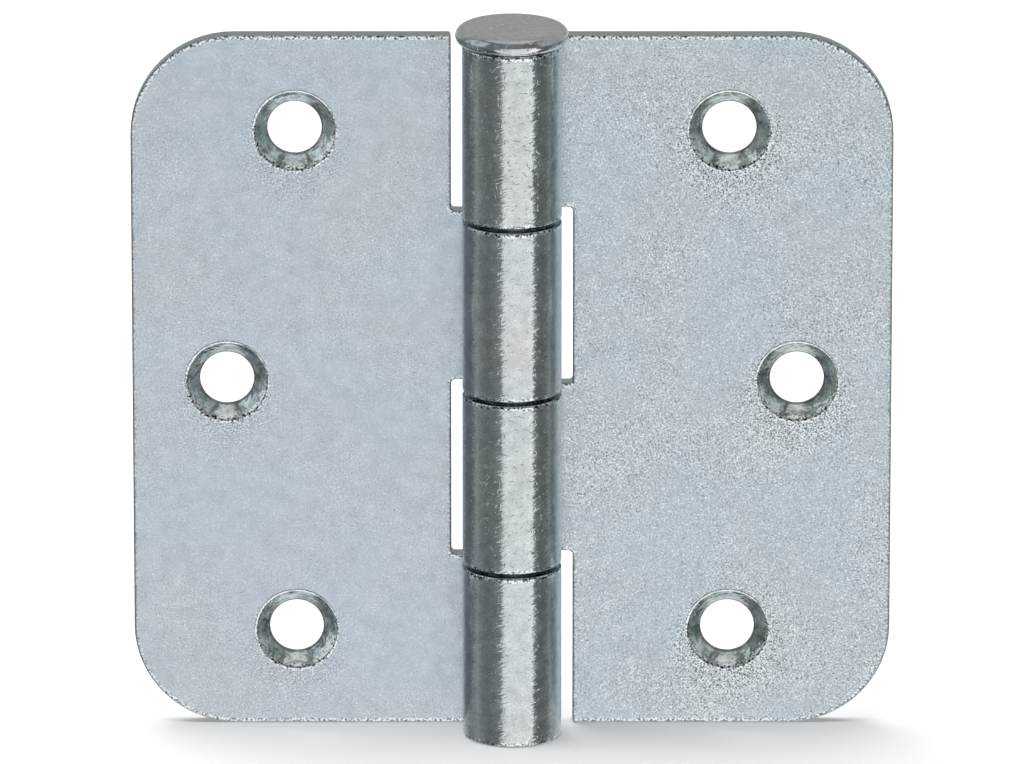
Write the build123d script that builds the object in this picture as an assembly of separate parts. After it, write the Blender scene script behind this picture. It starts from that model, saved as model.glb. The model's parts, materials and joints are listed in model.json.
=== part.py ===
from build123d import *
import os

# Loose pin hinge, put together and opened flat, in millimetres.
# The pin stands along +Z on the Z axis, and Z is zero at the lower end of the barrel.
# The leaves reach out along -X and +X, with their flat backs towards +Y.
# The barrel and the countersinks face the front, towards -Y.

# Leaf blank
leaf_height = 70.0
open_width = 74.0
corner_radius = 10.0
sheet_thickness = 1.75
edge_break = 0.2

# Screw holes, placed from the outer edge and from the ends of the leaf
screw_hole_diameter = 5.25
countersink_diameter = 7.9
countersink_angle = 90.0
end_hole_from_edge = 15.9
end_hole_from_end = 9.6
middle_hole_from_edge = 9.2

# Pin
pin_diameter = 6.0
pin_clearance = 0.08
pin_end_recess = 0.8
pin_tip_round = 0.6
head_diameter = 11.0
head_thickness = 1.7
head_seat_gap = 0.05

# Knuckles, counted from the top of the barrel
right_knuckles = (0, 2)
left_knuckles = (1, 3)
knuckle_gap = 0.35
barrel_to_leaf_gap = 1.1
notch_corner_radius = 0.4
seam_gap = 0.15
nose_round = 0.8

# Sizes that follow from the ones above
bore_radius = pin_diameter / 2 + pin_clearance
barrel_radius = bore_radius + sheet_thickness
leaf_reach = open_width / 2
leaf_inner_edge = barrel_radius + barrel_to_leaf_gap
knuckle_count = len(right_knuckles) + len(left_knuckles)
knuckle_pitch = leaf_height / knuckle_count

# Lengths that differ by less than this count as equal
match_tolerance = 1e-4


def rolled_section():
    """The sheet seen end on: flat plate along the back, curl round the pin, straight nose.

    The plate's back face is tangent to the back of the barrel. From there the sheet
    turns three quarters of a circle round the pin, then runs straight towards the
    plate's front face and stops short of it by the seam gap.
    """
    nose_end = bore_radius - seam_gap
    nose_shoulder = nose_end - nose_round
    with BuildSketch(Plane.XY) as section:
        with BuildLine():
            Line((leaf_reach, barrel_radius), (0, barrel_radius))
            CenterArc((0, 0), barrel_radius, 90, 270)
            Line((barrel_radius, 0), (barrel_radius, nose_shoulder))
            CenterArc((barrel_radius - nose_round, nose_shoulder), nose_round, 0, 90)
            Line((barrel_radius - nose_round, nose_end), (bore_radius, nose_end))
            Line((bore_radius, nose_end), (bore_radius, 0))
            CenterArc((0, 0), bore_radius, 0, -270)
            Line((0, bore_radius), (leaf_reach, bore_radius))
            Line((leaf_reach, bore_radius), (leaf_reach, barrel_radius))
        make_face()
    return section.sketch


def notch_span(knuckle):
    """Lowest and highest Z of the room that one knuckle needs in the opposite leaf."""
    top = leaf_height - knuckle * knuckle_pitch
    bottom = top - knuckle_pitch
    if knuckle > 0:
        top += knuckle_gap / 2
    if knuckle < knuckle_count - 1:
        bottom -= knuckle_gap / 2
    return bottom, top


def blank_outline(opposite_knuckles):
    """Front view of the sheet: round outer corners, and a notch for each opposite knuckle."""
    with BuildSketch(Plane.XZ) as outline:
        with Locations((-barrel_radius, 0)):
            Rectangle(leaf_reach + barrel_radius, leaf_height, align=Align.MIN)
        fillet(outline.vertices().group_by(Axis.X)[-1], corner_radius)
        for knuckle in opposite_knuckles:
            bottom, top = notch_span(knuckle)
            with Locations((-barrel_radius, bottom)):
                Rectangle(barrel_radius + leaf_inner_edge, top - bottom, align=Align.MIN,
                          mode=Mode.SUBTRACT)
        fillet(outline.vertices().filter_by(is_notch_corner), notch_corner_radius)
    return outline.sketch


def is_notch_corner(vertex):
    """True where a knuckle's strip meets the plate's inner edge in an inside corner."""
    at_inner_edge = abs(vertex.X - leaf_inner_edge) < match_tolerance
    between_the_ends = match_tolerance < vertex.Z < leaf_height - match_tolerance
    return at_inner_edge and between_the_ends


def screw_hole_places():
    """X and Z of the holes of the right-hand leaf: one near each end, one further out."""
    end_x = leaf_reach - end_hole_from_edge
    return [
        (end_x, end_hole_from_end),
        (leaf_reach - middle_hole_from_edge, leaf_height / 2),
        (end_x, leaf_height - end_hole_from_end),
    ]


def is_sheared_edge(edge):
    """True for the edges where a cut side of the blank meets either face of the sheet.

    They are the level edges at the ends of the plate and the knuckles, and the edges of
    the plate that lie in its front or back face. Edges straight through the sheet don't count.
    """
    box = edge.bounding_box()
    through_sheet = box.size.X < match_tolerance and box.size.Z < match_tolerance
    level = box.size.Z < match_tolerance
    in_plate_face = box.size.Y < match_tolerance and edge.center().X > barrel_radius + match_tolerance
    return not through_sheet and (level or in_plate_face)


def leaf(opposite_knuckles):
    """A right-hand leaf: the rolled section carried up its height and cut to the blank."""
    front_face = Plane(origin=(0, bore_radius, 0), x_dir=(1, 0, 0), z_dir=(0, -1, 0))
    with BuildPart() as sheet:
        add(rolled_section())
        extrude(amount=leaf_height)
        extrude(blank_outline(opposite_knuckles), 2 * barrel_radius, both=True,
                mode=Mode.INTERSECT)
        chamfer(sheet.edges().filter_by(is_sheared_edge), edge_break)
        with Locations(front_face):
            with Locations(*screw_hole_places()):
                CounterSinkHole(screw_hole_diameter / 2, countersink_diameter / 2,
                                2 * sheet_thickness, countersink_angle)
    return sheet.part


def hinge_pin():
    """The pin: a round shank with a flat head and a full-round rim, turned about Z."""
    shank_radius = pin_diameter / 2
    rim_radius = head_thickness / 2
    head_flat_radius = head_diameter / 2 - rim_radius
    head_bottom = leaf_height + head_seat_gap
    head_top = head_bottom + head_thickness
    with BuildPart() as pin:
        with BuildSketch(Plane.XZ):
            with BuildLine():
                Line((0, pin_end_recess), (shank_radius - pin_tip_round, pin_end_recess))
                CenterArc((shank_radius - pin_tip_round, pin_end_recess + pin_tip_round),
                          pin_tip_round, -90, 90)
                Line((shank_radius, pin_end_recess + pin_tip_round), (shank_radius, head_bottom))
                Line((shank_radius, head_bottom), (head_flat_radius, head_bottom))
                CenterArc((head_flat_radius, head_bottom + rim_radius), rim_radius, -90, 180)
                Line((head_flat_radius, head_top), (0, head_top))
                Line((0, head_top), (0, pin_end_recess))
            make_face()
        revolve(axis=Axis.Z)
    return pin.part


right_leaf = leaf(left_knuckles)
left_leaf = mirror(leaf(right_knuckles), Plane.YZ)
pieces = {"right_leaf": right_leaf, "left_leaf": left_leaf, "hinge_pin": hinge_pin()}

os.makedirs("parts", exist_ok=True)
for name, piece in pieces.items():
    export_step(piece, f"parts/{name}.step")
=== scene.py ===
import json
import math
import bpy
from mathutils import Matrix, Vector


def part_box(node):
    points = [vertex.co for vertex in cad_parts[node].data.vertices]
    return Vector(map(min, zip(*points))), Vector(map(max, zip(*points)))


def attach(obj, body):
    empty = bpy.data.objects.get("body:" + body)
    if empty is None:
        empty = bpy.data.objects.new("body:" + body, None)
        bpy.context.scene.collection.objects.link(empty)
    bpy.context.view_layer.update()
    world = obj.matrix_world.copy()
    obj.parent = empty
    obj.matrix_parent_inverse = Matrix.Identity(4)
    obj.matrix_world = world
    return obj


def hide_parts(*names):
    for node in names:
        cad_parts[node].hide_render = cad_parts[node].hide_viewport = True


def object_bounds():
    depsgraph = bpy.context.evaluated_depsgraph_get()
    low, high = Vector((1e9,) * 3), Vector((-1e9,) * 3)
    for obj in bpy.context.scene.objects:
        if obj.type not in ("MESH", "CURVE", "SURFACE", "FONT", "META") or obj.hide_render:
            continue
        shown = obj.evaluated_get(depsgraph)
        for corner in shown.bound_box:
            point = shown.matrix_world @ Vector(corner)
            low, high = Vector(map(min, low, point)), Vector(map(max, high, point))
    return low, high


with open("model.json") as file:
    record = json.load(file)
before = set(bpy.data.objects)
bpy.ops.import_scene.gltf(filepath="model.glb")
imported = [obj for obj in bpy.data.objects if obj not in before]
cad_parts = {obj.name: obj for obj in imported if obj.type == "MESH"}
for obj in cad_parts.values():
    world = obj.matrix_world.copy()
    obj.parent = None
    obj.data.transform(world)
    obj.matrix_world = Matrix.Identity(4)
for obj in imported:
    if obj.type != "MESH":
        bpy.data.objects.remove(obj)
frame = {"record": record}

from types import SimpleNamespace as Values

import bpy
import numpy as np
from bpy.props import FloatProperty, FloatVectorProperty, IntProperty, PointerProperty
from mathutils import Vector
from mathutils.geometry import delaunay_2d_cdt

bl_info = {
    "name": "Loose Pin Hinge",
    "version": (1, 0, 0),
    "blender": (4, 5, 0),
    "location": "View3D > Sidebar > Hinge",
    "description": "Rolled zinc-plated leaves, a drawn pin and a pale studio for a hinge",
    "category": "Object",
}

# Every length is in metres. The pin stands on the Z axis, the leaves lie flat in X and Z,
# their backs face +Y, and the knuckles and countersinks face the front, -Y.

# The box of the solids, straight after loading
cad_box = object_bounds()

# Sizes that the frame gives, some of them in millimetres
leaf_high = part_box("right_leaf")[1]
pin_low, pin_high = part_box("hinge_pin")
mounts = {mount["name"]: mount for mount in frame["record"]["mounts"]}
end_holes = mounts["right_leaf_end_screw_holes"]
middle_hole = mounts["right_leaf_middle_screw_hole"]
millimetres = 1000

# Which knuckles each leaf holds, counted from the top of the barrel
right_knuckles = (0, 2)
left_knuckles = (1, 3)

# The curl takes the sheet three quarters of the way round the pin
quarter_turn = math.pi / 2
curl_turn = 3 * quarter_turn

# Names of what the meshes carry for their materials
sheet_map = "sheet"
cut_wall = "cut_wall"
sink_cone = "sink_cone"
sink_mark = "sink_mark"
hole_distance = "hole_distance"
# Painted glints on the burred, sharp edges
burr = "burr"
# Painted shade: a dark line on the upright edges
side_edge = "side_edge"


def length(name, description, default):
    """A size in metres that the sidebar shows in the scene's unit."""
    return FloatProperty(name=name, description=description, default=default, precision=5,
                         subtype="DISTANCE", unit="LENGTH")


def in_degrees(name, description, default):
    """An angle, given in degrees."""
    return FloatProperty(name=name, description=description, default=math.radians(default),
                         subtype="ANGLE")


def count(name, description, default):
    """A number of mesh steps."""
    return IntProperty(name=name, description=description, default=default, min=12)


def shade(name, description, default):
    """A surface colour in linear light."""
    return FloatVectorProperty(name=name, description=description, default=default, size=3,
                               subtype="COLOR", min=0.0, max=1.0)


def fraction(name, description, default):
    """A share from none to all."""
    return FloatProperty(name=name, description=description, default=default, min=0.0, max=1.0,
                         subtype="FACTOR")


def strength(name, description, default, **unit):
    """How strong a light is."""
    return FloatProperty(name=name, description=description, default=default, min=0.0, **unit)


class LeafSizes(bpy.types.PropertyGroup):
    """Sizes of one leaf, the same for both."""

    height: length("Height", "Height of the leaf along the pin", leaf_high.z)
    reach: length("Reach", "From the pin's axis to the leaf's outer edge", leaf_high.x)
    barrel_radius: length("Barrel radius", "Outer radius of the knuckles", leaf_high.y)
    thickness: length("Sheet thickness", "Thickness of the sheet", 0.00175)
    corner_radius: length("Corner radius", "Radius of the two outer corners", 0.010)
    plate_edge: length("Plate edge", "From the axis to the plate's inner edge", 0.00593)
    knuckle_gap: length("Knuckle gap", "Gap between neighbouring knuckles", 0.00035)
    notch_round: length("Notch round", "Radius in the inside corners of the notches", 0.0004)
    corner_break: length("Corner break", "Radius on the small outside corners", 0.00028)
    seam_gap: length("Seam gap", "Gap between the nose of the curl and the plate", 0.00015)
    nose_round: length("Nose round", "Radius on the outer corner of the nose", 0.0008)
    front_round: length("Front round", "Radius of the cut edge on the front face", 0.00012)
    back_round: length("Back round", "Radius of the cut edge on the back face", 0.00022)
    hole_radius: length("Hole radius", "Radius of a screw hole",
                        end_holes["dims"]["hole_r_mm"] / millimetres)
    sink_radius: length("Countersink radius", "Radius of a countersink on the front", 0.00395)
    rim_slope: in_degrees("Rim slope", "Slope of the countersink at its rim", 43.0)
    land_slope: in_degrees("Land slope", "Slope of the countersink where it meets the hole", 48.0)
    lip_height: length("Lip height", "How far the rim of a countersink stands up", 0.00003)
    lip_width: length("Lip width", "Width of that raised rim", 0.00022)
    grid_step: length("Grid step", "Spacing of the mesh on the plate", 0.001)
    curl_steps: count("Curl steps", "Mesh steps round the curl", 72)
    hole_steps: count("Hole steps", "Mesh steps round a screw hole", 96)

    @property
    def bore_radius(self):
        return self.barrel_radius - self.thickness

    @property
    def middle_radius(self):
        return self.barrel_radius - self.thickness / 2

    @property
    def curl_end(self):
        return curl_turn * self.middle_radius

    @property
    def nose_end(self):
        return self.curl_end + self.bore_radius - self.seam_gap


class PinSizes(bpy.types.PropertyGroup):
    """Sizes of the loose pin."""

    shank_radius: length("Shank radius", "Radius of the pin's shank", 0.003)
    head_radius: length("Head radius", "Radius of the pin's head", pin_high.x)
    head_thickness: length("Head thickness", "Thickness of the head", 0.0017)
    top: length("Top", "Height of the head's top", pin_high.z)
    tip: length("Tip", "Height of the lower end", pin_low.z)
    tip_round: length("Tip round", "Radius round the lower end", 0.0006)
    neck_round: length("Neck round", "Radius under the head", 0.0002)
    dish: length("Dish", "How far the middle of the head lies below its rim", 0.00004)
    turn_steps: count("Turn steps", "Mesh steps round the pin", 128)


class ZincFinish(bpy.types.PropertyGroup):
    """Colours and gloss of the zinc plating."""

    plate: shade("Plate", "Plating on the flat sheet", (0.585, 0.65, 0.71))
    barrel: shade("Barrel", "Plating burnished by the rolling die", (0.60, 0.64, 0.66))
    cut: shade("Cut edge", "Plating on the sheared edges", (0.46, 0.49, 0.51))
    sink: shade("Countersink", "Plating in the countersinks", (0.745, 0.80, 0.81))
    wire: shade("Wire", "Plating on the drawn pin", (0.60, 0.625, 0.65))
    plate_gloss: fraction("Plate roughness", "Roughness of the flat sheet", 0.34)
    barrel_gloss: fraction("Barrel roughness", "Roughness of the burnished barrel", 0.15)
    sink_gloss: fraction("Countersink roughness", "Roughness of the countersinks", 0.14)
    wire_gloss: fraction("Wire roughness", "Roughness of the drawn pin", 0.12)


class StageSettings(bpy.types.PropertyGroup):
    """Camera, floor and light."""

    elevation: in_degrees("Elevation", "How far the camera looks down", 17.0)
    distance: length("Distance", "From the camera to the middle of the hinge", 1.3)
    view_width: length("View width", "Width of what the picture takes in", 0.0996)
    floor_size: length("Floor size", "Side of the floor", 8.0)
    floor_shade: shade("Floor", "Colour of the floor", (0.90, 0.90, 0.90))
    front: strength("Front light", "Strength of the wide light in front", 1.0)
    around: strength("Light round about", "Strength of the light from the sides and behind", 1.0)
    left: strength("Left light", "Strength of the small light on the left", 0.68)
    right: strength("Right light", "Strength of the small light on the right", 0.45)
    rear: strength("Rear light", "Strength of the light above the horizon behind", 0.43)
    above: strength("Light above", "Strength of the light overhead", 0.62)
    lamp_power: strength("Lamp power", "Power of the lamp over the floor", 30.0, unit="POWER")


# Shapes

# How many mesh points lie along each short run of the outlines
mesh_points = Values(corner=5, nose=16, back_round=6, wall=5, front_round=5, lip=7, sink=13,
                     hole_end=5, pin_tip=9, pin_round=9, shank=42, underside=5, head_rim=21,
                     head_top=12)

# Distances of the support rings from the edge of a face and from the rim of a hole
rings_beside_edge = (0.00012, 0.00035)
rings_round_hole = (0.00012, 0.0004, 0.001)

# How far the grid points of a face stay from those rings, from the holes and, on the curl,
# from the rings once more, in grid steps
grid_clearance = Values(rings=0.55, holes=0.3, curl=0.12)

# Lengths that differ by less than this count as equal
match_tolerance = 1e-7

distance_slices = 16


def rolled_sheet(u, z, depth, sizes):
    """Where a point of the flat blank ends up once the sheet is rolled.

    u runs across the blank: below zero on the plate, zero where the curl starts, above zero
    round the pin. depth goes from the front face, zero, to the back. On the plate x is -u and
    y is the bore radius plus depth. In the curl the point keeps that distance from the axis
    and turns by u over the middle radius. After the last turn the nose runs straight on.
    """
    turn = np.clip(u / sizes.middle_radius, 0, curl_turn)
    straight = np.maximum(u - sizes.curl_end, 0)
    radius = sizes.bore_radius + depth
    x = -radius * np.sin(turn) - np.minimum(u, 0)
    y = radius * np.cos(turn) + straight
    return np.stack(np.broadcast_arrays(x, y, z), axis=-1)


def back_depth(u, sizes):
    """Depth of the back face: the full thickness, falling as a quarter circle at the nose."""
    along = np.clip(u - (sizes.nose_end - sizes.nose_round), 0, sizes.nose_round)
    return sizes.thickness - sizes.nose_round + np.sqrt(sizes.nose_round**2 - along**2)


def knuckle_span(knuckle, sizes):
    """Lowest and highest z of one knuckle, a quarter of the height less its gaps."""
    total = len(right_knuckles) + len(left_knuckles)
    pitch = sizes.height / total
    top = sizes.height - knuckle * pitch
    low = top - pitch
    if knuckle > 0:
        top -= sizes.knuckle_gap / 2
    if knuckle < total - 1:
        low += sizes.knuckle_gap / 2
    return low, top


def blank_corners(own_knuckles, sizes):
    """Corners of the blank in (u, z), anticlockwise, which way each turns, and its radius."""
    outer, inner, nose = -sizes.reach, -sizes.plate_edge, sizes.nose_end
    side = []
    for knuckle in sorted(own_knuckles, reverse=True):
        low, top = knuckle_span(knuckle, sizes)
        side += [(inner, low), (nose, low), (nose, top), (inner, top)]
    corners = np.array([(outer, 0), (inner, 0), *side, (inner, sizes.height),
                        (outer, sizes.height)])
    arriving = corners - np.roll(corners, 1, axis=0)
    corners = corners[np.linalg.norm(arriving, axis=1) > match_tolerance]
    arriving = corners - np.roll(corners, 1, axis=0)
    leaving = np.roll(arriving, -1, axis=0)
    turn = arriving[:, 0] * leaving[:, 1] - arriving[:, 1] * leaving[:, 0]
    turns = np.abs(turn) > match_tolerance**2
    corners, turn = corners[turns], np.sign(turn[turns])
    radius = np.where(turn > 0, sizes.corner_break, sizes.notch_round)
    radius = np.where(corners[:, 0] == outer, sizes.corner_radius, radius)
    return corners, turn, radius


def rounded_outline(own_knuckles, sizes, columns, rows):
    """Points round the blank and their outward directions.

    Each corner is a quarter circle. A straight run has a point wherever a column or a row of
    the grid crosses it, so that the faces beside it meet it cleanly.
    """
    corners, turn, radius = blank_corners(own_knuckles, sizes)
    leaving = np.roll(corners, -1, axis=0) - corners
    ahead = leaving / np.linalg.norm(leaving, axis=1, keepdims=True)
    behind = np.roll(ahead, 1, axis=0)
    points, outward = [], []
    for here in range(len(corners)):
        steps = max(mesh_points.corner, round(radius[here] * quarter_turn / sizes.grid_step))
        angle = np.linspace(0, quarter_turn, steps + 1)[:, None]
        spoke = behind[here] * np.sin(angle) - ahead[here] * np.cos(angle)
        centre = corners[here] + (ahead[here] - behind[here]) * radius[here]
        points.append(centre + radius[here] * spoke)
        outward.append(turn[here] * spoke)

        following = (here + 1) % len(corners)
        start = corners[here] + ahead[here] * radius[here]
        end = corners[following] - ahead[here] * radius[following]
        axis = int(np.argmax(np.abs(ahead[here])))
        lines = (columns, rows)[axis]
        low, high = sorted((start[axis], end[axis]))
        crossed = lines[(lines > low + sizes.front_round) & (lines < high - sizes.front_round)]
        run = np.tile(start, (len(crossed), 1))
        run[:, axis] = np.sort(crossed)[::1 if end[axis] > start[axis] else -1]
        points.append(run)
        outward.append(np.tile((ahead[here][1], -ahead[here][0]), (len(crossed), 1)))
    return np.concatenate(points), np.concatenate(outward)


def edge_band(points, outward, sizes):
    """The cut edge carried round the outline, from the back face to the front one.

    Its section is a quarter circle at the back, a straight wall and a smaller quarter circle
    at the front. On the nose the first arc is the end of the nose's own round: it keeps the
    same inset, but starts part way down with the nose's radius.
    """
    on_nose = (points[:, 0] > sizes.nose_end - sizes.corner_break) * outward[:, 0]**2
    radius = sizes.back_round + on_nose * (sizes.nose_round - sizes.back_round)
    first = np.arcsin(1 - sizes.back_round / radius)
    share = np.linspace(0, 1, mesh_points.back_round)[:, None]
    angle = first + share * (quarter_turn - first)
    back_inset = radius * (1 - np.sin(angle))
    inner = points - sizes.back_round * outward
    start = back_depth(inner[:, 0], sizes)
    back_level = start - radius * (np.cos(first) - np.cos(angle))

    share = np.linspace(0, 1, mesh_points.wall)[1:-1, None]
    wall_level = back_level[-1] + share * (sizes.front_round - back_level[-1])

    angle = np.linspace(0, quarter_turn, mesh_points.front_round)[:, None] + np.zeros(len(points))
    front_inset = sizes.front_round * (1 - np.cos(angle))
    front_level = sizes.front_round * (1 - np.sin(angle))

    inset = np.concatenate([back_inset, np.zeros_like(wall_level), front_inset])
    level = np.concatenate([back_level, wall_level, front_level])
    place = points - inset[..., None] * outward
    return place[..., 0], place[..., 1], level


def screw_hole_places():
    """Middles of the three screw holes in (u, z), from the frame's mounts."""
    end_u, middle_u = -end_holes["pos_m"][0], -middle_hole["pos_m"][0]
    height = middle_hole["pos_m"][2]
    apart = end_holes["dims"]["spacing_y_mm"] / 2 / millimetres
    return np.array([(end_u, height - apart), (middle_u, height), (end_u, height + apart)])


def sink_profile(sizes):
    """Radius and depth down a countersunk hole, from the front face to the back.

    A low rounded lip stands round the rim. From there the sink curves in: its slope grows
    steadily from the rim to the hole, so its depth is the logarithm of a cosine. The
    straight land of the hole and a small round at the back follow.
    """
    share = np.linspace(0, 1, mesh_points.lip)
    lip_radius = sizes.sink_radius + sizes.lip_width * (1 - share)
    lip_depth = -sizes.lip_height * np.sin(math.pi * share)**2
    run = sizes.sink_radius - sizes.hole_radius
    bend = sizes.land_slope - sizes.rim_slope
    share = np.linspace(0, 1, mesh_points.sink)[1:]
    slope = sizes.rim_slope + share * bend
    sink_radius = sizes.sink_radius - share * run
    sink_depth = run * np.log(math.cos(sizes.rim_slope) / np.cos(slope)) / bend
    angle = np.linspace(0, quarter_turn, mesh_points.hole_end)
    end_radius = sizes.hole_radius + sizes.front_round * (1 - np.cos(angle))
    end_depth = sizes.thickness - sizes.front_round + sizes.front_round * np.sin(angle)
    radius = np.concatenate([lip_radius, sink_radius, end_radius])
    depth = np.concatenate([lip_depth, sink_depth, end_depth])
    return radius, depth


def inside(places, loop):
    """True for the places inside a closed loop, by counting the edges that a ray crosses."""
    x, y = places[:, 0, None], places[:, 1, None]
    x1, y1 = loop.T
    x2, y2 = np.roll(loop, -1, axis=0).T
    spans = (y1 > y) != (y2 > y)
    with np.errstate(divide="ignore", invalid="ignore"):
        crossing = x1 + (y - y1) * (x2 - x1) / (y2 - y1)
    return np.count_nonzero(spans & (x < crossing), axis=1) % 2 == 1


def nearest_of(places, others):
    """Distance from each place to the nearest of the others, and which one that is.

    The places are taken in slices, because a table of all the distances would be large.
    """
    distances, indices = [], []
    for some in np.array_split(places, distance_slices):
        gap = np.linalg.norm(some[:, None] - others, axis=2)
        distances.append(gap.min(axis=1))
        indices.append(gap.argmin(axis=1))
    return np.concatenate(distances), np.concatenate(indices)


def far_from(places, others, distance):
    """True for the places that are further than that from every one of the others."""
    return nearest_of(places, others)[0] > distance


def fill_face(loop, holes, spare):
    """Triangles between an outline, its round holes and spare points, as rows of indices.

    The indices count the outline's points first, then each hole's, then the spare points.
    Triangles inside a hole are dropped by the place of their middle. The points are joined
    in millimetres, so that the smallest triangles aren't lost.
    """
    points = np.concatenate([loop, holes.reshape(-1, 2), spare])
    rims = len(loop) + np.arange(holes.shape[0] * holes.shape[1]).reshape(holes.shape[:2])
    edges = np.stack([rims, np.roll(rims, -1, axis=1)], axis=-1).reshape(-1, 2)
    only_inside = 1
    joined = delaunay_2d_cdt([Vector(point) for point in points * millimetres], edges.tolist(),
                             [list(range(len(loop)))], only_inside, match_tolerance)
    source = np.array([origin[0] if origin else -1 for origin in joined[3]])
    if (source < 0).any():
        raise RuntimeError("the outline of a leaf crosses itself")
    triangles = source[np.array(joined[2])]
    centres = holes.mean(axis=1)
    radius = np.linalg.norm(holes[0, 0] - centres[0])
    return triangles[far_from(points[triangles].mean(axis=1), centres, radius)]


def face_grid(columns, rows, rims, loop, holes_at, radius, step):
    """Places inside a face: rings beside its edges, and grid points clear of those rings."""
    grid = np.stack(np.meshgrid(columns, rows, indexing="ij"), axis=-1).reshape(-1, 2)
    keep = far_from(grid, rims, grid_clearance.rings * step)
    keep &= far_from(grid, holes_at, radius + grid_clearance.holes * step)
    keep |= (grid[:, 0] > -step) & far_from(grid, rims, grid_clearance.curl * step)
    return np.concatenate([rims, grid[keep & inside(grid, loop)]])


def face_rims(points, outward, inset, holes_at, radius, spokes):
    """Support rings just inside the outline and just outside each hole."""
    beside = [points - (inset + more) * outward for more in rings_beside_edge]
    around = [holes_at[:, None] + (radius + more) * spokes for more in rings_round_hole]
    return np.concatenate(beside), np.concatenate([ring.reshape(-1, 2) for ring in around])


def quads(index):
    """Faces between neighbouring rows of indices whose columns close on themselves."""
    following = np.roll(index, -1, axis=1)
    return np.stack([index[:-1], index[1:], following[1:], following[:-1]],
                    axis=-1).reshape(-1, 4)


def leaf_surface(own_knuckles, sizes):
    """Vertices, faces, facing directions and masks of a right-hand leaf.

    Two faces filled between the same outline and holes, one at the front and one at the back,
    are joined by the edge band and by a turned profile in each hole, and the whole is rolled.
    """
    plate_columns = np.linspace(-sizes.reach, 0, round(sizes.reach / sizes.grid_step) + 1)
    curl_columns = np.linspace(0, sizes.curl_end, sizes.curl_steps + 1)[1:]
    nose_columns = np.linspace(sizes.curl_end, sizes.nose_end, mesh_points.nose)[1:-1]
    columns = np.concatenate([plate_columns, curl_columns, nose_columns])
    rows = np.linspace(0, sizes.height, round(sizes.height / sizes.grid_step) + 1)

    points, outward = rounded_outline(own_knuckles, sizes, columns, rows)
    band_places = edge_band(points, outward, sizes)
    band = np.arange(band_places[0].size).reshape(band_places[0].shape)

    holes_at = screw_hole_places()
    profile_radius, profile_depth = sink_profile(sizes)
    angle = np.linspace(0, 2 * math.pi, sizes.hole_steps, endpoint=False)
    spokes = np.stack([np.cos(angle), np.sin(angle)], axis=-1)
    hole_places = holes_at[:, None, None] + profile_radius[:, None, None] * spokes
    hole_depth = np.broadcast_to(profile_depth[:, None], hole_places.shape[:3])
    hole = band.size + np.arange(hole_depth.size).reshape(hole_depth.shape)

    faces = [quads(band), *(quads(rings) for rings in hole)]
    places = [band_places, (hole_places[..., 0], hole_places[..., 1], hole_depth)]
    used = band.size + hole.size
    flat = []
    for side, ring, inset, loop_ids in ((-1, 0, sizes.front_round, band[-1]),
                                        (1, -1, sizes.back_round, band[0])):
        loop = points - inset * outward
        rim_radius = profile_radius[ring]
        beside, around = face_rims(points, outward, inset, holes_at, rim_radius, spokes)
        rims = np.concatenate([beside[inside(beside, loop)], around])
        spare = face_grid(columns, rows, rims, loop, holes_at, rim_radius, sizes.grid_step)
        ids = np.concatenate([loop_ids, hole[:, ring].ravel(), used + np.arange(len(spare))])
        faces.append(ids[fill_face(loop, hole_places[:, ring], spare)][:, ::side])
        places.append((spare[:, 0], spare[:, 1], back_depth(spare[:, 0], sizes) * (side > 0)))
        flat.append((ids, side))
        used += len(spare)

    u, z, depth = (np.concatenate([numbers.ravel() for numbers in row]) for row in zip(*places))
    facing = face_directions(u, flat, sizes)
    masks = leaf_masks(u, z, depth, band.size, hole.size, points, outward, holes_at, sizes)
    return rolled_sheet(u, z, depth, sizes), faces, facing, np.stack([u, z], axis=-1), masks


def face_directions(u, flat, sizes):
    """Exact facing of every point on the two faces. Rows of zeros leave it to the mesh.

    Away from the nose a face looks straight in or out along the radius. On the nose's round
    the back face also leans along u, by the angle whose sine is the share of the round passed.
    """
    turn = np.clip(u / sizes.middle_radius, 0, curl_turn)
    radial = np.stack([-np.sin(turn), np.cos(turn), 0 * u], axis=-1)
    along = np.stack([-np.cos(turn), -np.sin(turn), 0 * u], axis=-1)
    lean = np.clip((u - sizes.nose_end + sizes.nose_round) / sizes.nose_round, 0, 1)
    facing = np.zeros((len(u), 3))
    for ids, side in flat:
        tilt = lean[ids, None] * (side > 0)
        facing[ids] = side * radial[ids] * np.sqrt(1 - tilt**2) + along[ids] * tilt
    return facing


# The rough patch round a countersink: how far it reaches above and how much further below,
# how strong it is above, and the powers by which it grows downwards and fades towards the hole
patch = Values(reach=0.0003, more_below=0.0024, above=0.12, growth=1.5, fading=4)

# Painted glints on the burred rim of a countersink: their strength and the width of their band
rim_glints = Values(strength=1.5, width=0.00019)

# Painted glints on the burred cut edges: the inset, width and depth of their band and their
# strength on the barrel, on the plate and, on top of it, on the upper edges
edge_glints = Values(inset=0.0002, width=0.00014, depth=0.00006, barrel=0.5, plate=0.15,
                    upper=0.85)
# The same painted glints on the lower front edges of the plate: inset, width and strength
lower_edge_glints = Values(inset=0.00025, width=0.00012, strength=0.45)

# Width and depth of the painted shade, a dark line along the upright edges
edge_shade_size = Values(width=0.00017, depth=0.0003)


def bell(distance, width):
    """One at no distance, and e to the power of minus the square of the widths passed."""
    return np.exp(-(distance / width)**2)


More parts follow.
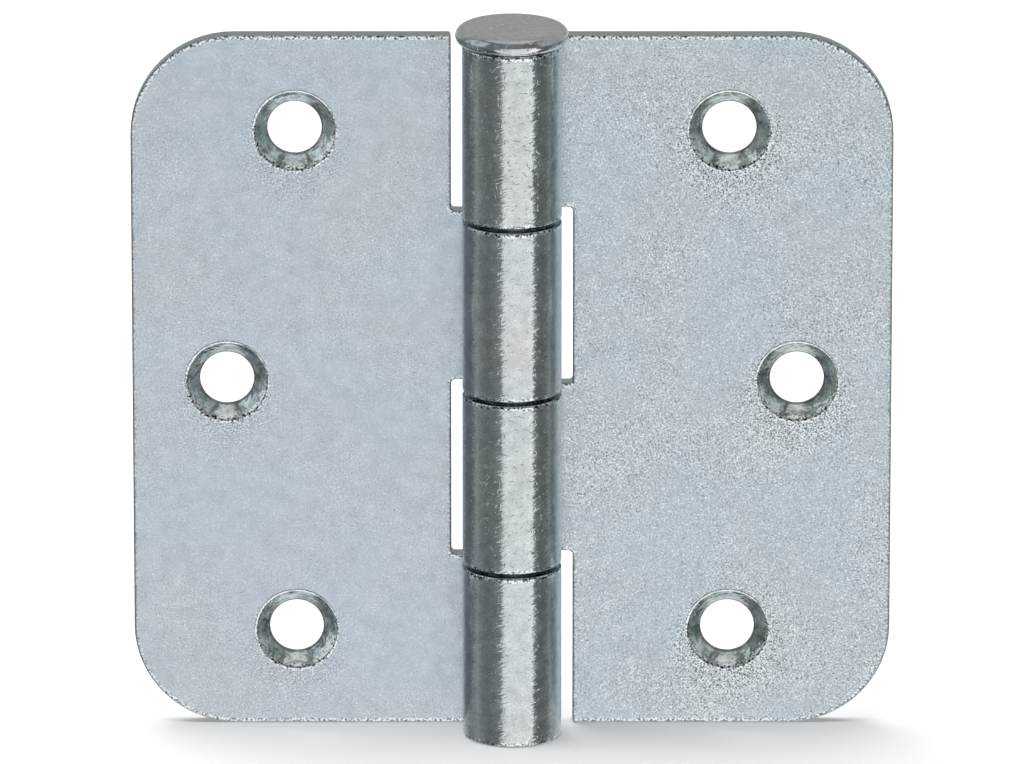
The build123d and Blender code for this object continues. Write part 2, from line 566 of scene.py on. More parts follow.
def leaf_masks(u, z, depth, band_size, hole_size, points, outward, holes_at, sizes):
    """Numbers on the vertices that the finish reads.

    cut_wall is one on the edge band. hole_distance is the distance to the middle of the
    nearest hole, and sink_cone is one down a hole. sink_mark is the rough patch that the
    countersink leaves: strong at and below its rim, fading within a few millimetres outwards
    and towards the hole. The mask named burr holds painted glints on the burred, sharp edges:
    the front edges of the plate, most at the top, the ends of the barrel and the rims of the
    countersinks. side_edge is painted shade, a dark line on the front round of the plate's
    upright edges.
    """
    place = np.stack([u, z], axis=-1)
    to_edge, edge_point = nearest_of(place, points)
    sideward, upward = outward[edge_point].T
    order = np.arange(len(u))
    down_hole = (order >= band_size) & (order < band_size + hole_size)
    on_front = depth < sizes.thickness / 2
    on_plate = u < 0

    offset = place[:, None] - holes_at
    distance = np.linalg.norm(offset, axis=2)
    nearest = distance.min(axis=1)
    below = np.clip(0.5 - 0.5 * offset[..., 1] / np.maximum(distance, match_tolerance), 0, 1)
    growing = below**patch.growth
    reach = patch.reach + patch.more_below * growing
    outwards = bell(np.maximum(distance - sizes.sink_radius, 0), reach)
    inwards = (distance - sizes.hole_radius) / (sizes.sink_radius - sizes.hole_radius)
    mark = (patch.above + below) * outwards * np.clip(inwards, 0, 1)**patch.fading
    # Painted glints on the burred rim of each countersink, growing downwards
    rim = rim_glints.strength * bell(distance - sizes.sink_radius, rim_glints.width) * growing

    outer = np.where(u > 0, sizes.thickness - depth, depth)
    # Painted glints on the burred cut edges, strongest on the upper edges
    sharp = bell(to_edge - edge_glints.inset, edge_glints.width) * bell(outer, edge_glints.depth)
    sharp *= (np.where(u > 0, edge_glints.barrel, edge_glints.plate)
              + edge_glints.upper * np.maximum(upward, 0))
    lower = bell(to_edge - lower_edge_glints.inset, lower_edge_glints.width)
    sharp += lower_edge_glints.strength * lower * on_plate * on_front * np.maximum(-upward, 0)
    # Painted shade: a dark line on the front round of the upright edges
    line = bell(to_edge, edge_shade_size.width) * bell(depth, edge_shade_size.depth)
    return {cut_wall: order < band_size,
            sink_cone: down_hole & (nearest < sizes.sink_radius + sizes.lip_width / 2),
            hole_distance: nearest,
            sink_mark: on_front * np.clip(mark.max(axis=1), 0, 1),
            burr: np.maximum(sharp, on_front * rim.max(axis=1)),
            side_edge: on_plate * sideward**2 * line}


def pin_profile(sizes):
    """Radius and height along the pin, from the middle of its tip to the middle of its head.

    A flat tip with a round edge, the shank, a small round under the head, the head's flat
    underside, its full-round rim, and a top that dips a little towards the middle.
    """
    rim = sizes.head_thickness / 2
    neck = sizes.neck_round
    under = sizes.top - sizes.head_thickness
    tip_flat = sizes.shank_radius - sizes.tip_round
    top_flat = sizes.head_radius - rim
    quarter = np.linspace(0, quarter_turn, mesh_points.pin_round)
    half = np.linspace(-quarter_turn, quarter_turn, mesh_points.head_rim)
    tip = np.linspace(0, 1, mesh_points.pin_tip)[:-1]
    shank = np.linspace(sizes.tip + sizes.tip_round, under - neck, mesh_points.shank)[1:-1]
    underside = np.linspace(sizes.shank_radius + neck, top_flat, mesh_points.underside)[1:-1]
    top = np.linspace(0, 1, mesh_points.head_top)[1:]
    runs = ((tip * tip_flat, sizes.tip),
            (tip_flat + sizes.tip_round * np.sin(quarter),
             sizes.tip + sizes.tip_round * (1 - np.cos(quarter))),
            (sizes.shank_radius, shank),
            (sizes.shank_radius + neck * (1 - np.cos(quarter)),
             under - neck * (1 - np.sin(quarter))),
            (underside, under),
            (top_flat + rim * np.cos(half), under + rim + rim * np.sin(half)),
            (top_flat * (1 - top), sizes.top - sizes.dish * np.sin(quarter_turn * top)**2))
    return np.concatenate([np.stack(np.broadcast_arrays(*run)) for run in runs], axis=1)


def turned_surface(radius, height, steps):
    """A profile turned about Z, with one shared vertex at each end where it meets the axis."""
    angle = np.linspace(0, 2 * math.pi, steps, endpoint=False)
    around, up = radius[1:-1, None], height[1:-1, None]
    rings = np.stack(np.broadcast_arrays(around * np.cos(angle), around * np.sin(angle), up),
                     axis=-1)
    vertices = np.concatenate([rings.reshape(-1, 3), [(0, 0, height[0]), (0, 0, height[-1])]])
    index = np.arange(rings.shape[0] * steps).reshape(-1, steps)
    low, high = len(vertices) - 2, len(vertices) - 1
    first, last = index[0], index[-1]
    walls = quads(index)[:, ::-1]
    low_cap = np.stack([np.full(steps, low), np.roll(first, -1), first], axis=-1)
    high_cap = np.stack([np.full(steps, high), last, np.roll(last, -1)], axis=-1)
    place = np.stack(np.broadcast_arrays(angle * radius.max(), up), axis=-1)
    place = np.concatenate([place.reshape(-1, 2), [(0, height[0]), (0, height[-1])]])
    return vertices, [walls, low_cap, high_cap], place


def make_piece(name, vertices, faces, place, masks=None, facing=None):
    """Puts a surface into a new mesh object, smooth, with its map and its masks."""
    mesh = bpy.data.meshes.new(name)
    mesh.from_pydata(vertices, [], [face for group in faces for face in group.tolist()],
                     shade_flat=False)
    corners = np.zeros(len(mesh.loops), dtype=np.int32)
    mesh.loops.foreach_get("vertex_index", corners)
    layer = mesh.uv_layers.new(name=sheet_map)
    layer.uv.foreach_set("vector", place[corners].astype(np.float32).ravel())
    for key, values in (masks or {}).items():
        attribute = mesh.attributes.new(key, "FLOAT", "POINT")
        attribute.data.foreach_set("value", values.astype(np.float32))
    if facing is not None:
        mesh.normals_split_custom_set_from_vertices(facing.tolist())
    if mesh.validate():
        raise RuntimeError(f"the surface of {name} has faulty faces")
    piece = bpy.data.objects.new(name, mesh)
    bpy.context.scene.collection.objects.link(piece)
    return piece


# Finishes

class Signal:
    """What comes out of a node. Sums, products and powers of numbers add Math nodes."""

    def __init__(self, tree, output):
        self.tree = tree
        self.output = output

    def math(self, operation, first, second=0.0):
        """What one Math node makes of two numbers."""
        return add(self.tree, "ShaderNodeMath", {0: first, 1: second}, operation=operation)

    def __add__(self, other):
        return self.math("ADD", self, other)

    def __sub__(self, other):
        return self.math("SUBTRACT", self, other)

    def __rsub__(self, other):
        return self.math("SUBTRACT", other, self)

    def __mul__(self, other):
        return self.math("MULTIPLY", self, other)

    def __rtruediv__(self, other):
        return self.math("DIVIDE", other, self)

    def __rpow__(self, other):
        return self.math("POWER", other, self)

    def __abs__(self):
        return self.math("ABSOLUTE", self)

    def at_least(self, other):
        """The larger of two numbers."""
        return self.math("MAXIMUM", self, other)

    def at_most(self, other):
        """The smaller of two numbers."""
        return self.math("MINIMUM", self, other)

    def about_zero(self, gain=1.0):
        """A noise about zero instead of about a half, times a gain."""
        return (self - 0.5) * gain

    def passing(self, level, start, end):
        """A smooth change from zero to one between two distances from a level."""
        return self.ramp(level + start, level + end)

    def ramp(self, start, end, low=0.0, high=1.0):
        """A smooth change from low at start to high at end."""
        return add(self.tree, "ShaderNodeMapRange",
                   {"Value": self, "From Min": start, "From Max": end, "To Min": low,
                    "To Max": high}, interpolation_type="SMOOTHSTEP")

    def mix(self, first, second):
        """The first number where the signal is zero, the second where it is one."""
        return add(self.tree, "ShaderNodeMix", {"Factor": self, "A": first, "B": second})


def add(tree, kind, inputs=None, output=0, **settings):
    """Adds a node and gives one of its outputs as a signal, if it has any.

    Each input takes a plain value, or the signal that it is linked to.
    """
    node = tree.nodes.new(kind)
    for setting, value in settings.items():
        setattr(node, setting, value)
    for socket, value in (inputs or {}).items():
        if isinstance(value, Signal):
            tree.links.new(value.output, node.inputs[socket])
        else:
            node.inputs[socket].default_value = value
    return Signal(tree, node.outputs[output]) if len(node.outputs) else None


def noise(where, per_metre, detail=0.0, roughness=0.5, distortion=0.0):
    """A soft noise from zero to one with so many ripples to the metre."""
    return add(where.tree, "ShaderNodeTexNoise",
               {"Vector": where, "Scale": per_metre, "Detail": detail, "Roughness": roughness,
                "Distortion": distortion})


def part(vector, axis):
    """One of the three numbers of a vector."""
    return add(vector.tree, "ShaderNodeSeparateXYZ", {0: vector}, output=axis)


def vector_math(operation, first, others):
    """What one Vector Math node makes of a vector and its other inputs."""
    return add(first.tree, "ShaderNodeVectorMath", {0: first, **others}, operation=operation)


# Where a Mix node takes its two colours and gives the mixed one
colour_inputs = (6, 7)
colour_output = 2


def mix_colour(share, first, second, blend="MIX"):
    """The first colour where the share is zero, the blend of both where it is one."""
    tree = next(value.tree for value in (share, first) if isinstance(value, Signal))
    inputs = {"Factor": share}
    for socket, colour in zip(colour_inputs, (first, second)):
        inputs[socket] = colour if isinstance(colour, Signal) else (*colour[:3], 1.0)
    return add(tree, "ShaderNodeMix", inputs, colour_output, data_type="RGBA",
               blend_type=blend)


def layered(mix, value, *layers):
    """A value with others laid over it one by one, each where its mask is one."""
    for cover, other in layers:
        value = mix(cover, value, other)
    return value


white = (1.0, 1.0, 1.0, 1.0)

# Kinds of a group's inputs by what they hold at first, and of its outputs by their names
input_kinds = {float: "NodeSocketFloat", tuple: "NodeSocketColor",
               type(None): "NodeSocketVector"}
output_kinds = {"Normal": "NodeSocketVector", "Color": "NodeSocketColor"}

# Gain of each noise that is taken about zero
gains = Values(crystals=8.0, lean=6.0, patches=8.0, rings=6.0, beads=12.0, mottle=0.5)

# Range of its noise over which each mark comes in
rises = Values(specks=(0.66, 0.78), clouds=(0.38, 0.62), dents=(0.66, 0.76),
               pin_dents=(0.62, 0.72), nicks=(0.60, 0.70))


def new_group(name, inputs):
    """An empty node group, and its inputs as signals by name."""
    group = bpy.data.node_groups.new(name, "ShaderNodeTree")
    for socket, value in inputs.items():
        made = group.interface.new_socket(socket, in_out="INPUT",
                                          socket_type=input_kinds[type(value)])
        if value is not None:
            made.default_value = value
    given = group.nodes.new("NodeGroupInput").outputs
    return group, {socket: Signal(group, given[socket]) for socket in inputs}


def end_group(group, results):
    """Ends a node group with its outputs, which are signals by name."""
    for socket in results:
        kind = output_kinds.get(socket, "NodeSocketFloat")
        group.interface.new_socket(socket, in_out="OUTPUT", socket_type=kind)
    add(group, "NodeGroupOutput", results)
    return group


def use_group(tree, group, inputs):
    """A node group placed in a material, as its outputs by name."""
    outputs = add(tree, "ShaderNodeGroup", inputs, node_tree=group).output.node.outputs
    return {output.name: Signal(tree, output) for output in outputs}


def zinc_grain_group():
    """The fine crystals of the plating.

    Height is a rough relief, a noise less half the distance to the nearest crystal. Shade is
    a noise about zero times a half and a share of its own square, so that a few crystals stand
    out from the rest. Its third output gives painted glints on single crystals, and mottle is
    a slow noise several crystals wide.
    """
    group, given = new_group("zinc_grain", {"Vector": None, "Grain Size": 0.0003})
    where = given["Vector"]
    pitch = 1.0 / given["Grain Size"]
    cells = add(group, "ShaderNodeTexVoronoi",
                {"Vector": where, "Scale": pitch, "Randomness": 1.0}, feature="F1")
    tone = noise(where, pitch * 1.1, distortion=0.5).about_zero(gains.crystals)
    return end_group(group, {
        "Height": cells * -0.5 + noise(where, pitch, detail=1.0),
        "Shade": tone * (tone * tone * 0.19 + 0.5),
        "Specks": noise(where, pitch * 0.8, distortion=0.8).ramp(*rises.specks),
        "Mottle": noise(where, pitch * 0.12, detail=4.0, roughness=0.62)})


def rolled_lean_group():
    """Marks that lean a surface to the left or right about the hinge's long axis.

    The marks are a noise stretched along one direction and sheared by the slant. The lean
    adds the surface's own sideways direction, the axis crossed with its facing, to its facing.
    """
    group, given = new_group("rolled_lean", {"Vector": None, "Across": 1100.0, "Along": 6000.0,
                                             "Slant": 0.4, "Lean": 0.2})
    across = part(given["Vector"], "X")
    along = across * given["Slant"] + part(given["Vector"], "Y")
    stretched = add(group, "ShaderNodeCombineXYZ",
                    {"X": across * given["Across"], "Y": along * given["Along"]})
    marks = noise(stretched, 1.0, detail=3.0, roughness=0.7, distortion=0.4)
    marks = marks.about_zero(gains.lean)
    axis = add(group, "ShaderNodeVectorTransform", {0: (0, 0, 1)}, vector_type="VECTOR",
               convert_from="OBJECT", convert_to="WORLD")
    facing = add(group, "ShaderNodeNewGeometry", output="Normal")
    sideways = vector_math("CROSS_PRODUCT", axis, {1: facing})
    lean = marks * (marks * marks * 1.5 + 0.8) * given["Lean"]
    leant = vector_math("ADD", facing, {1: vector_math("SCALE", sideways, {"Scale": lean})})
    return end_group(group, {"Normal": vector_math("NORMALIZE", leant, {}), "Shade": marks})


def plating_tint_group():
    """Slow clouds of tint, as the clear passivation leaves on zinc."""
    group, given = new_group(
        "plating_tint", {"Vector": None, "Color": white, "Warm": (1.03, 1.0, 0.985, 1.0),
                         "Cool": (0.975, 1.005, 1.015, 1.0), "Cloud Size": 0.012})
    clouds = noise(given["Vector"], 1.0 / given["Cloud Size"], detail=3.0, roughness=0.55)
    tint = mix_colour(clouds.ramp(*rises.clouds), given["Cool"], given["Warm"])
    return end_group(group, {"Color": mix_colour(1.0, given["Color"], tint, "MULTIPLY")})


def new_finish(name):
    """An empty material and its tree."""
    material = bpy.data.materials.new(name)
    material.use_nodes = True
    tree = material.node_tree
    tree.nodes.clear()
    return material, tree


def metal(tree, colour, roughness, height, normal):
    """Ends a finish of the hinge: a metal shader, with its relief as a height in metres."""
    bump = add(tree, "ShaderNodeBump",
               {"Height": height, "Distance": 1.0, "Strength": 1.0, "Normal": normal})
    shader = add(tree, "ShaderNodeBsdfPrincipled",
                 {"Base Color": colour, "Roughness": roughness, "Normal": bump,
                  "Metallic": 1.0})
    add(tree, "ShaderNodeOutputMaterial", {"Surface": shader})


def toned(colour, tone):
    """A colour times two to the power of its tone."""
    return mix_colour(1.0, colour, 2.0 ** tone, "MULTIPLY")


def mask(tree, name):
    """A number that the mesh carries."""
    return add(tree, "ShaderNodeAttribute", output="Fac", attribute_name=name)


# The plating of each leaf: size of its crystals, how deep their shading goes on the plate and
# on the rough patches, its share of painted glints on single crystals, the slant of its marks,
# the height of its dents in metres and its two tints
coarse_plating = Values(size=0.00018, depth=0.29, mark_depth=0.95, specks=0.7, slant=-0.5,
                        dents=0.000013, warm=(1.008, 0.998, 0.965, 1.0),
                        cool=(0.964, 1.003, 0.990, 1.0))
fine_plating = Values(size=0.00017, depth=0.115, mark_depth=0.3, specks=0.3, slant=0.5,
                      dents=0.000008, warm=(1.023, 1.0, 0.988, 1.0),
                      cool=(0.979, 1.005, 1.011, 1.0))
# Colour of the painted glints on single crystals
glint_colour = (0.95, 0.97, 0.98)

# Distances over which the finish changes. The barrel's begins round the start of the curl, and
# the dark ring of a countersink lies round the edge of the hole. On the pin the streaks end
# under the head, and the nicks lie between the underside and the top of the head.
barrel_change = (-0.0012, 0.0016)
hole_end_change = (0.00018, 0.00008)
shank_change = (0.00015, -0.00055)
rim_low_change = (0.00005, 0.00025)
rim_high_change = (-0.00015, -0.00035)

# Marks that lean the surface, in ripples to the metre across and along: short hairs on the
# barrel and long streaks on the pin
hairs = {"Across": 1300.0, "Along": 7000.0}
streaks = {"Across": 2400.0, "Along": 110.0, "Slant": 0.0}
hair_lean = 0.055
streak_lean = 0.05

# Size of the pin's crystals and of its clouds of tint
pin_grain_size = 0.0005
pin_cloud_size = 0.006

# Ripples to the metre of the noises in the finishes
ripples = Values(beads=4200.0, swell=90.0, chatter=800.0, dents=2300.0, rings=7000.0,
                 pin_dents=800.0, nicks=1500.0)

# How far the turned rings of a countersink wander with the swell
ring_wander = 9.0

# How deep each shade goes in the tone
depths = Values(barrel=0.07, sink=0.06, sink_mark=1.0, cut=0.10, hairs=0.08, patches=0.12,
                sink_patches=0.48, rings=0.13, hole_end=-1.3, beads=1.4, side_edge=-1.2,
                streaks=0.16, pin_grain=0.07)
lightest_tone = 0.75

# The lowest and highest share of its depth that the swell leaves to the plate's shading
swell_shares = (0.6, 1.25)

# How much the patches of a leaf and the mottle of the pin change the roughness
patch_gloss = 0.03
mottle_gloss = 0.12

# Heights in metres of what stands up from the surface, and how many times more the crystals
# stand up in the rough patches
heights = Values(plate=0.000007, barrel=0.0000024, sink=0.000002, cut=0.0000012, swell=0.00006,
                 chatter=0.00011, beads=0.00003, pin=0.0000015, pin_dents=0.00001,
                 nicks=0.00006, mark_gain=3.0)


def leaf_finish(name, finish, groups, plating):
    """Zinc plating on the rolled sheet: satin and grainy on the plate, burnished on the barrel.

    The tone of every place is a sum of shades. Each shade is a noise times its depth, and
    masks say where a depth counts. Among them are painted glints on the burred edges and on
    single crystals, and painted shade, a dark line on the upright edges. The relief is a sum
    of noises times their heights.
    """
    material, tree = new_finish(name)
    where = add(tree, "ShaderNodeTexCoord", output="Object")
    sheet = add(tree, "ShaderNodeUVMap", uv_map=sheet_map)
    rolled = part(sheet, "X").ramp(*barrel_change)
    layers = (cut_wall, sink_cone, sink_mark, burr, side_edge, hole_distance)
    wall, cone, mark, sharp, upright, from_hole = (mask(tree, layer) for layer in layers)
    hole_radius = bpy.context.scene.hinge_leaf.hole_radius
    hole_end = cone * from_hole.passing(hole_radius, *hole_end_change)

    grain = use_group(tree, groups["grain"], {"Vector": where, "Grain Size": plating.size})
    marks = use_group(tree, groups["lean"], {"Vector": sheet, "Slant": plating.slant,
                                             "Lean": rolled * hair_lean, **hairs})
    # A noise for the burred edges: their relief and their painted glints
    beads = noise(where, ripples.beads)
    swell = noise(where, ripples.swell, detail=3.0)
    chatter = noise(where, ripples.chatter, detail=2.0, roughness=0.6)
    dents = noise(where, ripples.dents).ramp(*rises.dents)
    turned = add(tree, "ShaderNodeCombineXYZ", {"X": from_hole * ripples.rings,
                                                "Y": swell * ring_wander})
    rings = noise(turned, 1.0, detail=1.0)

    colour = layered(mix_colour, finish.plate, (rolled, finish.barrel), (cone, finish.sink),
                     (wall, finish.cut))
    colour = use_group(tree, groups["tint"], {"Vector": where, "Color": colour,
                                              "Warm": plating.warm,
                                              "Cool": plating.cool})["Color"]

    uneven = swell.ramp(*rises.clouds, *swell_shares)
    mark_depth = cone.mix(plating.mark_depth, depths.sink_mark)
    depth = layered(Signal.mix, uneven * plating.depth, (rolled, depths.barrel),
                    (cone, depths.sink), (mark, mark_depth), (wall, depths.cut))
    patches = chatter.about_zero(gains.patches)
    tone = grain["Shade"] * depth
    tone += marks["Shade"] * rolled * depths.hairs
    tone += patches * cone.mix(rolled * depths.patches, depths.sink_patches)
    tone += rings.about_zero(gains.rings) * cone * depths.rings
    tone += hole_end * depths.hole_end
    # Painted glints on the burred edges: light and dark, lighter on average
    tone += (beads.about_zero(gains.beads) + 0.5) * sharp * depths.beads
    # Painted shade: a dark line on the upright edges
    tone += upright * depths.side_edge
    colour = toned(colour, tone.at_most(lightest_tone))
    # Painted glints: bright points on single crystals of the plate
    glint = grain["Specks"] * (1.0 - rolled - cone).at_least(0.0) * plating.specks
    colour = mix_colour(glint, colour, glint_colour)

    rough = layered(Signal.mix, finish.plate_gloss, (rolled, finish.barrel_gloss),
                    (cone, finish.sink_gloss))
    rough += patches * patch_gloss

    relief = layered(Signal.mix, heights.plate, (rolled, heights.barrel),
                     (cone, heights.sink), (wall, heights.cut))
    height = grain["Height"] * relief * (mark * heights.mark_gain + 1.0)
    height += swell * heights.swell
    height += chatter.about_zero() * cone * heights.chatter
    height += dents * rolled * plating.dents
    height += beads.about_zero() * sharp * heights.beads
    metal(tree, colour, rough, height, marks["Normal"])
    return material


def pin_finish(name, finish, groups):
    """Zinc plating on the drawn pin: straight streaks up the shank, nicks on the head's rim."""
    material, tree = new_finish(name)
    where = add(tree, "ShaderNodeTexCoord", output="Object")
    sheet = add(tree, "ShaderNodeUVMap", uv_map=sheet_map)
    up = part(where, "Z")
    sizes = bpy.context.scene.hinge_pin
    under = sizes.top - sizes.head_thickness
    on_shank = up.passing(under, *shank_change)
    on_rim = up.passing(under, *rim_low_change) * up.passing(sizes.top, *rim_high_change)

    grain = use_group(tree, groups["grain"], {"Vector": where, "Grain Size": pin_grain_size})
    drawn = use_group(tree, groups["lean"], {"Vector": sheet, "Lean": on_shank * streak_lean,
                                             **streaks})
    dents = noise(where, ripples.pin_dents, detail=1.0).ramp(*rises.pin_dents)
    nicks = noise(where, ripples.nicks, detail=1.0).ramp(*rises.nicks)
    colour = use_group(tree, groups["tint"], {"Vector": where, "Color": (*finish.wire, 1.0),
                                              "Cloud Size": pin_cloud_size})["Color"]
    tone = drawn["Shade"] * on_shank * depths.streaks
    tone += grain["Shade"] * depths.pin_grain
    tone += grain["Mottle"].about_zero(gains.mottle)
    rough = grain["Mottle"].about_zero(mottle_gloss) + finish.wire_gloss
    height = grain["Height"] * heights.pin
    height += dents * heights.pin_dents
    height += nicks * on_rim * heights.nicks
    metal(tree, toned(colour, tone), rough, height, drawn["Normal"])
    return material


# Stage

# Brightness round the horizon against the direction in degrees. Zero is the front, where the
# wide light stands over it, and the left is below zero.
horizon_levels = ((-180, 0.66), (-144, 0.52), (-118, 0.25), (-96, 0.28), (-89, 0.38),
                  (-82, 0.25), (-60, 0.18), (-44, 0.21), (-28, 0.26), (0, 0.26), (50, 0.20),
                  (72, 0.155), (88, 0.18), (98, 0.34), (116, 0.46), (144, 0.68), (180, 0.66))

# Brightness straight down
level_below = 0.6

# Directions in degrees of the wide light in front and of the two small lights
front_direction = 14.0
small_lights = {"Left": -80.0, "Right": 84.0}

# Elevations in degrees between which each light comes in. The wide light widens further down,
# and the small lights end again higher up.
elevations = Values(sides=(-50.0, -28.0), straight_down=(-64.0, -74.0), wide=(-3.0, -10.0),
                    widening=(-21.0, -29.0), small=(-11.0, 2.0), small_end=(54.0, 44.0),
                    rear=(-5.0, 10.0), overhead=(58.0, 69.0))

# By how many degrees the wide light widens on each side
wide_light_widening = 16.0

# Angles in degrees between which each light comes in, to either side of its own middle. The
# brighter end of the wide light and the light behind are measured from the front.
spreads = Values(wide=(39.0, 34.0), brighter_end=(42.0, 47.0), small=(32.0, 18.0),
                 rear=(98.0, 138.0), ground=(100.0, 124.0))

# The middle of the dim ground, and the share of the sides' brightness that is left far below
# there and behind
ground_direction = -8.0
ground_shares = (0.5, 0.98)

# How much brighter the right end of the wide light is
brighter_end = 1.35

# The floor lies a little below the hinge, and only the camera sees its glow
floor_level = -0.00005
floor_glow = 0.12

# Side and place of the lamp over the floor
lamp_side = 1.6
lamp_place = Vector((-0.3, 0.2, 1.6))


def surround_group():
    """Brightness and tint of the studio in each direction, worked out in degrees.

    A wide light stands low in front, a little to the right, and widens further down. The rest
    of the horizon follows the table above. It is dimmer far below, and straight down it has a
    level of its own. Two small lights stand on the left and on the right above the horizon.
    Behind, above the horizon, and overhead everything fades to levels of their own. All but
    the front light, that high light behind and the light overhead is tinted a little cooler.
    """
    group, given = new_group(
        "studio_surround",
        {"Direction": None, "Front": 1.0, "Around": 1.0, "Left": 0.7, "Right": 0.3, "Rear": 0.5,
         "Above": 0.7, "Side Tint": (0.92, 1.0, 1.02, 1.0)})
    unit = vector_math("NORMALIZE", given["Direction"], {})
    azimuth = unit.math("ARCTAN2", part(unit, "X"), part(unit, "Y") * -1.0) * math.degrees(1)
    elevation = unit.math("ARCSINE", part(unit, "Z")) * math.degrees(1)
    table = add(group, "ShaderNodeValToRGB", {"Fac": azimuth * (1 / 360) + 0.5})
    stops = table.output.node.color_ramp.elements
    while len(stops) < len(horizon_levels):
        stops.new(0.5)
    for stop, (direction, level) in zip(stops, horizon_levels):
        stop.position = direction / 360 + 0.5
        stop.color = (level, level, level, 1.0)
    dimmer_below = abs(azimuth - ground_direction).ramp(*spreads.ground, *ground_shares)
    side = table * given["Around"] * elevation.ramp(*elevations.sides, dimmer_below, 1.0)
    side = elevation.ramp(*elevations.straight_down).mix(side, level_below)

    widening = elevation.ramp(*elevations.widening, 0.0, wide_light_widening)
    off_light = abs(azimuth - front_direction) - widening
    front = off_light.ramp(*spreads.wide) * elevation.ramp(*elevations.wide)
    front_level = azimuth.ramp(*spreads.brighter_end, 1.0, brighter_end) * given["Front"]
    above_horizon = elevation.ramp(*elevations.small) * elevation.ramp(*elevations.small_end)
    small = [(abs(azimuth - direction).ramp(*spreads.small) * above_horizon, given[lamp])
             for lamp, direction in small_lights.items()]
    high_behind = abs(azimuth).ramp(*spreads.rear) * elevation.ramp(*elevations.rear)
    overhead = elevation.ramp(*elevations.overhead)
    level = layered(Signal.mix, side, (front, front_level), *small,
                    (high_behind, given["Rear"]), (overhead, given["Above"]))
    tint = mix_colour(front.at_least(high_behind.at_least(overhead)), given["Side Tint"], white)
    return end_group(group, {"Color": vector_math("SCALE", tint, {"Scale": level})})


def for_camera(tree, seen, else_light):
    """A shader that the camera sees, and another that everything else meets."""
    choice = add(tree, "ShaderNodeLightPath", output="Is Camera Ray")
    return add(tree, "ShaderNodeMixShader", {0: choice, 1: else_light, 2: seen})


def light_world(settings):
    """The studio light as a world. The camera sees plain white."""
    world = bpy.data.worlds.new("studio")
    world.use_nodes = True
    tree = world.node_tree
    tree.nodes.clear()
    strengths = {name.title(): getattr(settings, name)
                 for name in ("front", "around", "left", "right", "rear", "above")}
    direction = add(tree, "ShaderNodeTexCoord", output="Generated")
    surround = use_group(tree, surround_group(), {"Direction": direction, **strengths})
    light = add(tree, "ShaderNodeBackground", {"Color": surround["Color"], "Strength": 1.0})
    plain = add(tree, "ShaderNodeBackground", {"Color": white, "Strength": 1.0})
    add(tree, "ShaderNodeOutputWorld", {"Surface": for_camera(tree, plain, light)})
    bpy.context.scene.world = world


def lay_floor(settings):
    """A pale floor just under the hinge. It keeps the shadow, and metal doesn't show it."""
    half = settings.floor_size / 2
    corners = [(x * half, y * half, floor_level)
               for x, y in ((-1, -1), (1, -1), (1, 1), (-1, 1))]
    mesh = bpy.data.meshes.new("floor")
    mesh.from_pydata(corners, [], [(0, 1, 2, 3)])
    floor = bpy.data.objects.new("floor", mesh)
    bpy.context.scene.collection.objects.link(floor)
    material, tree = new_finish("floor_paint")
    paint = add(tree, "ShaderNodeBsdfDiffuse", {"Color": (*settings.floor_shade, 1.0)})
    glow = add(tree, "ShaderNodeEmission", {"Color": white, "Strength": floor_glow})
    nothing = add(tree, "ShaderNodeEmission", {"Strength": 0.0})
    extra = for_camera(tree, glow, nothing)
    both = add(tree, "ShaderNodeAddShader", {0: paint, 1: extra})
    add(tree, "ShaderNodeOutputMaterial", {"Surface": both})
    material.cycles.emission_sampling = "NONE"
    mesh.materials.append(material)
    floor.visible_glossy = False
    floor.visible_shadow = False


def set_up(data, location, behind):
    """A lamp or camera at its location, with its back to a direction."""
    holder = bpy.data.objects.new(data.name, data)
    holder.location = location
    holder.rotation_euler = behind.to_track_quat("Z", "Y").to_euler()
    bpy.context.scene.collection.objects.link(holder)
    return holder


def hang_lamp(settings):
    """A wide soft lamp over the floor, which gives the soft shadow."""
    lamp = bpy.data.lights.new("overhead_lamp", "AREA")
    lamp.shape = "RECTANGLE"
    lamp.size = lamp_side
    lamp.size_y = lamp_side
    lamp.energy = settings.lamp_power
    set_up(lamp, lamp_place, lamp_place).visible_glossy = False


def place_camera(settings):
    """A long lens in front of the hinge, looking down on it a little."""
    camera = bpy.data.cameras.new("camera")
    camera.lens = camera.sensor_width * settings.distance / settings.view_width
    middle = sum((Vector(corner) for corner in cad_box), Vector()) / 2
    away = Vector((0, -math.cos(settings.elevation), math.sin(settings.elevation)))
    bpy.context.scene.camera = set_up(camera, middle + away * settings.distance, away)


# Operators

class HINGE_OT_leaves(bpy.types.Operator):
    """Makes both leaves from the rolled sheet and gives them their finish"""

    bl_idname = "hinge.leaves"
    bl_label = "Make the leaves"

    def execute(self, context):
        sizes = context.scene.hinge_leaf
        finish = context.scene.hinge_finish
        groups = shared_groups()
        # The side is one for the right leaf, and minus one mirrors the left leaf
        leaves = (
            ("right_leaf_sheet", "right_leaf", "fixed_leaf", right_knuckles, 1, coarse_plating),
            ("left_leaf_sheet", "left_leaf", "swing_leaf", left_knuckles, -1, fine_plating))
        for name, node, body, knuckles, side, plating in leaves:
            vertices, faces, facing, place, masks = leaf_surface(knuckles, sizes)
            vertices, facing = vertices * (side, 1, 1), facing * (side, 1, 1)
            faces = [group[:, ::side] for group in faces]
            piece = make_piece(name, vertices, faces, place, masks, facing)
            piece.data.materials.append(leaf_finish(f"{node}_zinc", finish, groups, plating))
            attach(piece, body)
            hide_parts(node)
        return {"FINISHED"}


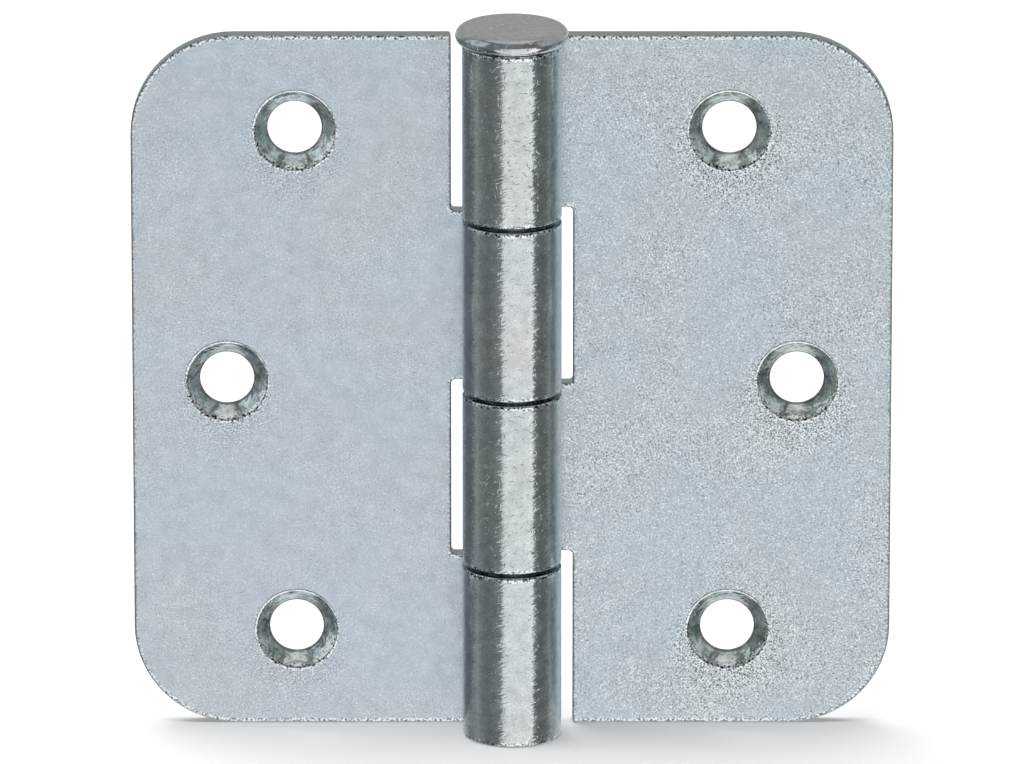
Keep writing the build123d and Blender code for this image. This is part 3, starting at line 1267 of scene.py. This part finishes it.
class HINGE_OT_pin(bpy.types.Operator):
    """Makes the loose pin as a turned surface and gives it its finish"""

    bl_idname = "hinge.pin"
    bl_label = "Make the pin"

    def execute(self, context):
        sizes = context.scene.hinge_pin
        radius, height = pin_profile(sizes)
        vertices, faces, place = turned_surface(radius, height, sizes.turn_steps)
        piece = make_piece("loose_pin_turned", vertices, faces, place)
        piece.data.materials.append(pin_finish("pin_zinc", context.scene.hinge_finish,
                                               shared_groups()))
        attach(piece, "loose_pin")
        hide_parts("hinge_pin")
        return {"FINISHED"}


class HINGE_OT_stage(bpy.types.Operator):
    """Lays the floor, lights the studio and places the camera"""

    bl_idname = "hinge.stage"
    bl_label = "Set the stage"

    def execute(self, context):
        settings = context.scene.hinge_stage
        context.scene.view_settings.view_transform = "Standard"
        light_world(settings)
        lay_floor(settings)
        hang_lamp(settings)
        place_camera(settings)
        return {"FINISHED"}


class HINGE_PT_panel(bpy.types.Panel):
    """Sizes, finish and steps of the hinge"""

    bl_idname = "HINGE_PT_panel"
    bl_label = "Loose Pin Hinge"
    bl_space_type = "VIEW_3D"
    bl_region_type = "UI"
    bl_category = "Hinge"

    def draw(self, context):
        for step in (HINGE_OT_leaves, HINGE_OT_pin, HINGE_OT_stage):
            self.layout.operator(step.bl_idname)
        for name in ("hinge_leaf", "hinge_pin", "hinge_finish", "hinge_stage"):
            settings = getattr(context.scene, name)
            box = self.layout.box()
            for key in settings.__annotations__:
                box.prop(settings, key)


classes = (LeafSizes, PinSizes, ZincFinish, StageSettings, HINGE_OT_leaves, HINGE_OT_pin,
           HINGE_OT_stage, HINGE_PT_panel)
group_makers = {"grain": zinc_grain_group, "lean": rolled_lean_group, "tint": plating_tint_group}
made_groups = {}


def shared_groups():
    """The node groups that the finishes share, each made once."""
    for key, maker in group_makers.items():
        if key not in made_groups:
            made_groups[key] = maker()
    return made_groups


def register():
    for entry in classes:
        bpy.utils.register_class(entry)
    bpy.types.Scene.hinge_leaf = PointerProperty(type=LeafSizes)
    bpy.types.Scene.hinge_pin = PointerProperty(type=PinSizes)
    bpy.types.Scene.hinge_finish = PointerProperty(type=ZincFinish)
    bpy.types.Scene.hinge_stage = PointerProperty(type=StageSettings)


def unregister():
    for name in ("hinge_leaf", "hinge_pin", "hinge_finish", "hinge_stage"):
        delattr(bpy.types.Scene, name)
    for entry in reversed(classes):
        bpy.utils.unregister_class(entry)


def main():
    """Makes every piece and the stage."""
    register()
    bpy.ops.hinge.stage()
    bpy.ops.hinge.leaves()
    bpy.ops.hinge.pin()


if __name__ == "__main__":
    main()
